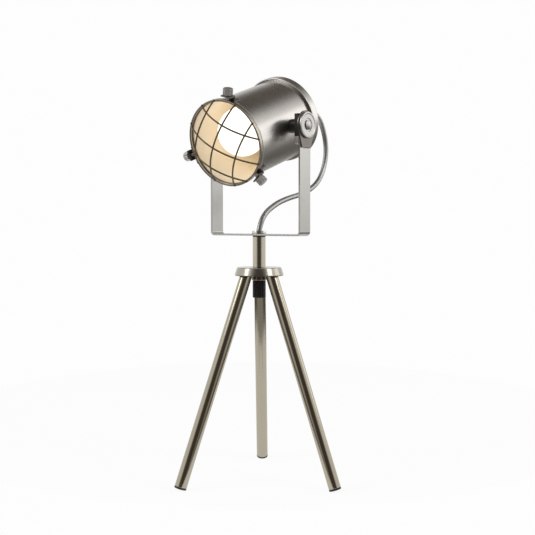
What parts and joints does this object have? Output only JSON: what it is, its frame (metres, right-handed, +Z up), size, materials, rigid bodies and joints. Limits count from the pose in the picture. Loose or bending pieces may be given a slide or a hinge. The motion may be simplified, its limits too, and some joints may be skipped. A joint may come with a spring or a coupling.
{
  "type": "tabletop searchlight lamp",
  "caption": "Table lamp with a drum-shaped head behind a domed wire guard, tilting in a strap yoke that swivels on a short post over splayed tube legs.",
  "frame": {"origin": "on the floor in the middle of the footprint", "axes": "+Z up; the picture looks along +Y; the head looks to the left of -Y and a little down"},
  "size_m": [0.202, 0.2154, 0.5087],
  "materials": {
    "warm_nickel": "satin nickel with a warm cast",
    "plain_steel": "plain turned steel",
    "bright_nickel": "polished nickel",
    "strap_steel": "light brushed steel",
    "plate_dark": "darkened steel",
    "dark_bronze": "dark bronzed steel",
    "drum_nickel": "brushed nickel outside, cream enamel inside",
    "cap_nickel": "brushed nickel",
    "guard_bronze": "dark bronzed wire",
    "screw_nickel": "nickel, knurled",
    "foot_black": "black rubber",
    "knob_black": "black moulded plastic",
    "friction_black": "black fibre",
    "boss_black": "black enamel",
    "cord_sleeve": "silver sleeve under a clear jacket",
    "holder_cream": "glazed ceramic",
    "shell_brass": "brass",
    "frosted_glass": "frosted white glass",
    "insulator_glass": "black vitrite"
  },
  "bodies": {
    "stand": {"foot_left": "foot_black", "foot_right": "foot_black", "foot_back": "foot_black", "leg_left": "warm_nickel", "leg_right": "warm_nickel", "leg_back": "warm_nickel", "leg_studs": "plain_steel", "hub_disc": "warm_nickel", "hub_collar": "dark_bronze", "switch_bushing": "plain_steel", "post_tube": "warm_nickel", "post_rod": "plain_steel", "swivel_washer": "friction_black", "post_nut": "bright_nickel"},
    "switch": {"switch_spindle": "plain_steel", "switch_knob": "knob_black"},
    "yoke": {"yoke_strap": "strap_steel", "pivot_plate_left": "plate_dark", "pivot_plate_right": "plate_dark", "friction_pads": "friction_black", "ledge_blocks": "strap_steel", "head_cord": "cord_sleeve"},
    "head": {"drum_shell": "drum_nickel", "rear_cap": "cap_nickel", "pivot_bosses": "boss_black", "pivot_bolts": "plain_steel", "clamp_disc_left": "bright_nickel", "clamp_disc_right": "bright_nickel", "cap_nuts": "bright_nickel", "guard_band": "guard_bronze", "guard_wires": "guard_bronze", "guard_brackets": "plate_dark", "bracket_rivets": "plain_steel", "lampholder_body": "holder_cream", "screw_shell": "shell_brass", "shell_contact": "shell_brass", "holder_nipple": "plain_steel", "cord_grip": "knob_black", "bulb_glass": "frosted_glass", "bulb_base": "bright_nickel", "bulb_insulator": "insulator_glass", "bulb_contact": "bright_nickel"},
    "screw_top": {"thumb_screw_top": "screw_nickel"},
    "screw_right": {"thumb_screw_right": "screw_nickel"},
    "screw_left": {"thumb_screw_left": "screw_nickel"}
  },
  "joints": [
    {"name": "yoke_swivel", "type": "hinge", "parent": "stand", "child": "yoke", "pos_m": [0.0016, -0.0119, 0.30775], "axis": [0, 0, 1], "range_deg": [-165, 165]},
    {"name": "head_tilt", "type": "hinge", "parent": "yoke", "child": "head", "pos_m": [0.0016, -0.0119, 0.44075], "axis": [0.8028, -0.5962, 0], "range_deg": [-60, 40], "deforming": ["head_cord"]},
    {"name": "switch_turn", "type": "hinge", "parent": "stand", "child": "switch", "pos_m": [0.0016, -0.0119, 0.2515], "axis": [0, 0, 1], "range_deg": [0, 90]},
    {"name": "screw_top_turn", "type": "hinge", "parent": "head", "child": "screw_top", "pos_m": [-0.03415, -0.08959, 0.46966], "axis": [0.0663, -0.429, 0.9009], "continuous": true},
    {"name": "screw_right_turn", "type": "hinge", "parent": "head", "child": "screw_right", "pos_m": [0.00078, -0.07697, 0.37818], "axis": [0.6792, -0.2077, -0.7039], "continuous": true},
    {"name": "screw_left_turn", "type": "hinge", "parent": "head", "child": "screw_left", "pos_m": [-0.08043, -0.02884, 0.40708], "axis": [-0.7455, 0.6367, -0.1969], "continuous": true}
  ]
}
